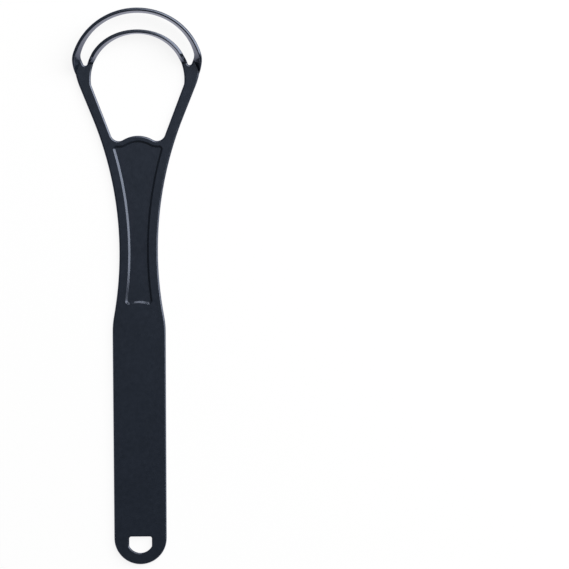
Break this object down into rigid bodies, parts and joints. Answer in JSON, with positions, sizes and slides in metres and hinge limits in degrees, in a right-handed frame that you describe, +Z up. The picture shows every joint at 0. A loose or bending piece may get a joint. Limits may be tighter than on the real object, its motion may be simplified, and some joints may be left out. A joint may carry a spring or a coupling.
{
  "type": "tongue scraper",
  "caption": "Flat steel tongue scraper: handle with a hang hole, waisted neck with a pressed panel, and a forked head carrying an outer and an inner scraping loop bent up on edge.",
  "frame": {"origin": "under the waist of the neck, on the raised back of the pressed panel, which the scraper rests on", "axes": "+Z up out of the front face, +Y along the scraper from the handle to the head, +X to the right"},
  "size_m": [0.0374, 0.1599, 0.0053],
  "materials": {
    "coated_steel": "satin blue-black coating over stamped stainless steel"
  },
  "bodies": {
    "root": {"handle": "coated_steel", "neck": "coated_steel", "left_arm": "coated_steel", "right_arm": "coated_steel", "outer_loop": "coated_steel", "inner_loop": "coated_steel"}
  },
  "joints": []
}
